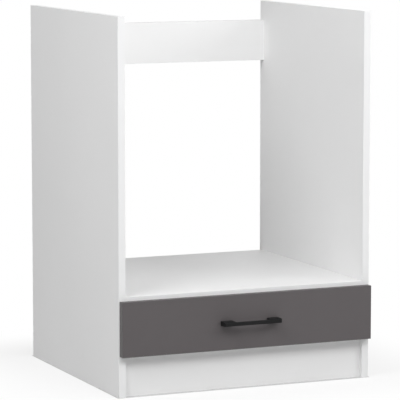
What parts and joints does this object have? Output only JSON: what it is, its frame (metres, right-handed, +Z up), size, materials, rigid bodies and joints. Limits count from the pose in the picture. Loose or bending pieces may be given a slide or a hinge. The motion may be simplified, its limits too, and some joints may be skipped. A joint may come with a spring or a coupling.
{
  "type": "oven base cabinet",
  "caption": "White base cabinet with an open niche for a built-in oven over a dark drawer with a black bow handle.",
  "frame": {"origin": "on the floor, in the middle of the outline that the cabinet and its handle cover, seen from above", "axes": "+X to the right seen from the front, +Y from the front to the back, +Z up"},
  "size_m": [0.6, 0.5864, 0.82],
  "materials": {
    "white_melamine": "satin",
    "white_edge_band": "satin",
    "raw_hardboard": "matte",
    "anthracite_melamine": "matte",
    "anthracite_edge_band": "matte",
    "drawer_board": "satin",
    "drawer_sheet": "satin",
    "zinc_fitting": "satin",
    "steel_fastener": "satin",
    "beech_dowel": "matte",
    "white_runner_steel": "satin",
    "nylon_roller": "satin",
    "black_handle_metal": "satin"
  },
  "bodies": {
    "cabinet": {"side_panel_left": "white_melamine", "side_panel_right": "white_melamine", "side_front_edge_left": "white_edge_band", "side_front_edge_right": "white_edge_band", "side_top_edge_left": "white_edge_band", "side_top_edge_right": "white_edge_band", "oven_shelf": "white_melamine", "shelf_front_edge": "white_edge_band", "base_panel": "white_melamine", "base_front_edge": "white_edge_band", "plinth_board": "white_melamine", "back_rail": "white_melamine", "rail_top_edge": "white_edge_band", "rail_lower_edge": "white_edge_band", "back_panel": "raw_hardboard", "back_panel_nails": "steel_fastener", "shelf_cam_bolts": "zinc_fitting", "shelf_cam_discs": "zinc_fitting", "shelf_dowels": "beech_dowel", "base_cam_bolts": "zinc_fitting", "base_cam_discs": "zinc_fitting", "base_dowels": "beech_dowel", "rail_cam_bolts": "zinc_fitting", "rail_cam_discs": "zinc_fitting", "rail_dowels": "beech_dowel", "plinth_cam_bolts": "zinc_fitting", "plinth_cam_discs": "zinc_fitting", "plinth_dowels": "beech_dowel", "cabinet_runner_left": "white_runner_steel", "cabinet_runner_right": "white_runner_steel", "cabinet_runner_screws": "steel_fastener", "cabinet_roller_pins": "steel_fastener"},
    "drawer": {"drawer_front": "anthracite_melamine", "front_edge_top": "anthracite_edge_band", "front_edge_bottom": "anthracite_edge_band", "front_edge_left": "anthracite_edge_band", "front_edge_right": "anthracite_edge_band", "drawer_side_left": "drawer_board", "drawer_side_right": "drawer_board", "drawer_back": "drawer_board", "drawer_bottom": "drawer_sheet", "drawer_bottom_nails": "steel_fastener", "drawer_cam_bolts": "zinc_fitting", "drawer_cam_discs": "zinc_fitting", "drawer_dowels": "beech_dowel", "drawer_back_screws": "steel_fastener", "drawer_runner_left": "white_runner_steel", "drawer_runner_right": "white_runner_steel", "drawer_runner_screws": "steel_fastener", "drawer_roller_pins": "steel_fastener", "handle": "black_handle_metal", "handle_screws": "steel_fastener"},
    "cabinet_roller_left": {"cabinet_roller_left": "nylon_roller"},
    "cabinet_roller_right": {"cabinet_roller_right": "nylon_roller"},
    "drawer_roller_left": {"drawer_roller_left": "nylon_roller"},
    "drawer_roller_right": {"drawer_roller_right": "nylon_roller"}
  },
  "joints": [
    {"name": "drawer_slide", "type": "slide", "parent": "cabinet", "child": "drawer", "axis": [0, -1, 0], "range_m": [0, 0.37]},
    {"name": "cabinet_roller_left_spin", "type": "hinge", "parent": "cabinet", "child": "cabinet_roller_left", "pos_m": [-0.2782, -0.23575, 0.1215], "axis": [1, 0, 0], "continuous": true},
    {"name": "cabinet_roller_right_spin", "type": "hinge", "parent": "cabinet", "child": "cabinet_roller_right", "pos_m": [0.2782, -0.23575, 0.1215], "axis": [1, 0, 0], "continuous": true},
    {"name": "drawer_roller_left_spin", "type": "hinge", "parent": "drawer", "child": "drawer_roller_left", "pos_m": [-0.2773, 0.23375, 0.1215], "axis": [1, 0, 0], "continuous": true},
    {"name": "drawer_roller_right_spin", "type": "hinge", "parent": "drawer", "child": "drawer_roller_right", "pos_m": [0.2773, 0.23375, 0.1215], "axis": [1, 0, 0], "continuous": true}
  ],
  "couplings": [
    {"joint": "cabinet_roller_left_spin", "follows": "drawer_slide", "rad_per_m": 90.909},
    {"joint": "cabinet_roller_right_spin", "follows": "drawer_slide", "rad_per_m": 90.909},
    {"joint": "drawer_roller_left_spin", "follows": "drawer_slide", "rad_per_m": 90.909},
    {"joint": "drawer_roller_right_spin", "follows": "drawer_slide", "rad_per_m": 90.909}
  ]
}
